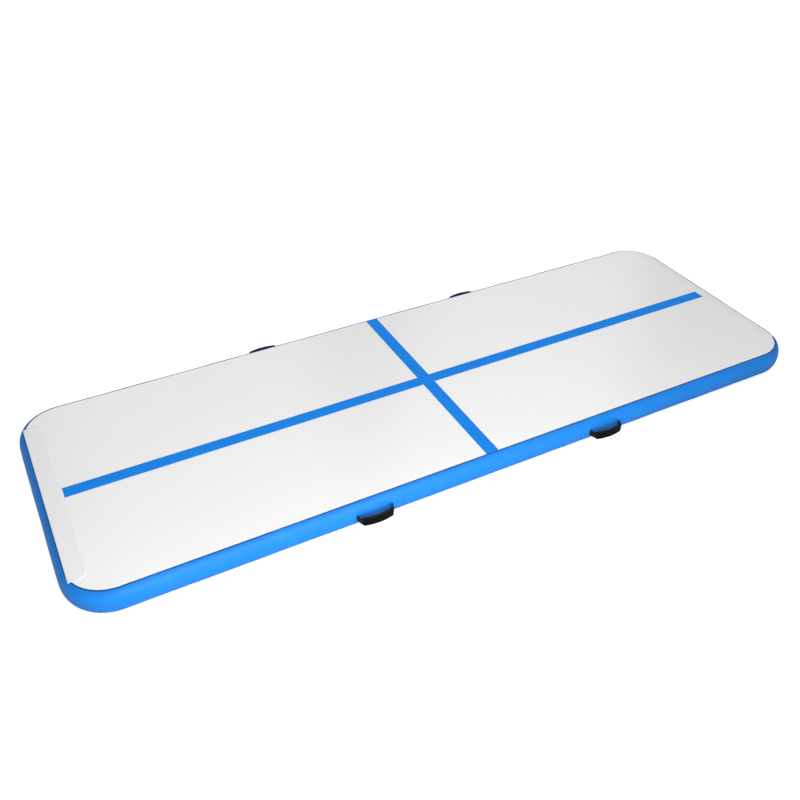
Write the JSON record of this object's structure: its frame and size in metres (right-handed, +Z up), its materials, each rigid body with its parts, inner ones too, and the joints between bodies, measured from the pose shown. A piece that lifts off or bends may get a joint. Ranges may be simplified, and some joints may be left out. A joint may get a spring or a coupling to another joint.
{
  "type": "air track mat",
  "caption": "Inflatable gymnastics air track: a long flat drop-stitch panel with a bulging side wall, marking stripes, carry handles and a capped inflation valve.",
  "frame": {"origin": "centre of the underside, on the floor", "axes": "+X along the mat to the end with the valve, +Y to the back long side, +Z up"},
  "size_m": [3.0734, 1.144, 0.1008],
  "materials": {
    "top_vinyl": "satin",
    "strip_vinyl": "satin",
    "wall_vinyl": "satin",
    "stripe_vinyl": "satin",
    "liner_vinyl": "matte",
    "thread": "matte",
    "webbing": "matte",
    "grip_rubber": "satin",
    "valve_plastic": "satin",
    "seal_rubber": "matte",
    "tether_rubber": "satin",
    "spring_steel": "satin"
  },
  "bodies": {
    "root": {"bottom_sheet": "wall_vinyl", "top_sheet": "top_vinyl", "drop_stitch_threads": "thread", "outer_wall_band": "wall_vinyl", "inner_wall_band": "liner_vinyl", "centre_stripe": "stripe_vinyl", "cross_stripe": "stripe_vinyl", "end_strip_left": "strip_vinyl", "end_strip_right": "strip_vinyl", "wall_joint_overlap": "wall_vinyl", "valve_patch": "wall_vinyl", "valve_gasket": "seal_rubber", "valve_body": "valve_plastic", "valve_nut": "valve_plastic", "valve_spring": "spring_steel", "tether_anchor": "tether_rubber", "front_left_anchor_tabs": "webbing", "front_left_anchor_patches": "wall_vinyl", "front_right_anchor_tabs": "webbing", "front_right_anchor_patches": "wall_vinyl", "back_left_anchor_tabs": "webbing", "back_left_anchor_patches": "wall_vinyl", "back_right_anchor_tabs": "webbing", "back_right_anchor_patches": "wall_vinyl"},
    "cap_tether": {"cap_tether": "tether_rubber"},
    "valve_cap": {"valve_cap": "valve_plastic", "cap_seal": "seal_rubber"},
    "valve_disc": {"valve_disc": "seal_rubber"},
    "valve_stem": {"valve_stem": "valve_plastic"},
    "front_left_handle": {"front_left_grip": "grip_rubber", "front_left_strap": "webbing"},
    "front_right_handle": {"front_right_grip": "grip_rubber", "front_right_strap": "webbing"},
    "back_left_handle": {"back_left_grip": "grip_rubber", "back_left_strap": "webbing"},
    "back_right_handle": {"back_right_grip": "grip_rubber", "back_right_strap": "webbing"}
  },
  "joints": [
    {"name": "front_left_handle_swing", "type": "hinge", "parent": "root", "child": "front_left_handle", "pos_m": [-0.496, -0.528, 0.05], "axis": [-1, 0, 0], "range_deg": [-40, 40]},
    {"name": "front_right_handle_swing", "type": "hinge", "parent": "root", "child": "front_right_handle", "pos_m": [0.496, -0.528, 0.05], "axis": [-1, 0, 0], "range_deg": [-40, 40]},
    {"name": "back_left_handle_swing", "type": "hinge", "parent": "root", "child": "back_left_handle", "pos_m": [-0.496, 0.528, 0.05], "axis": [1, 0, 0], "range_deg": [-40, 40]},
    {"name": "back_right_handle_swing", "type": "hinge", "parent": "root", "child": "back_right_handle", "pos_m": [0.496, 0.528, 0.05], "axis": [1, 0, 0], "range_deg": [-40, 40]},
    {"name": "cap_flip", "type": "hinge", "parent": "root", "child": "cap_tether", "pos_m": [1.5333, 0.029, 0.05], "axis": [0, 0, 1], "range_deg": [0, 110]},
    {"name": "cap_turn", "type": "hinge", "parent": "cap_tether", "child": "valve_cap", "pos_m": [1.538, 0, 0.05], "axis": [1, 0, 0], "range_deg": [-90, 90]},
    {"name": "valve_press", "type": "slide", "parent": "root", "child": "valve_disc", "axis": [-1, 0, 0], "range_m": [0, 0.006], "deforming": ["valve_spring"]},
    {"name": "stem_twist", "type": "hinge", "parent": "valve_disc", "child": "valve_stem", "pos_m": [1.51, 0, 0.05], "axis": [1, 0, 0], "range_deg": [0, 90]}
  ]
}
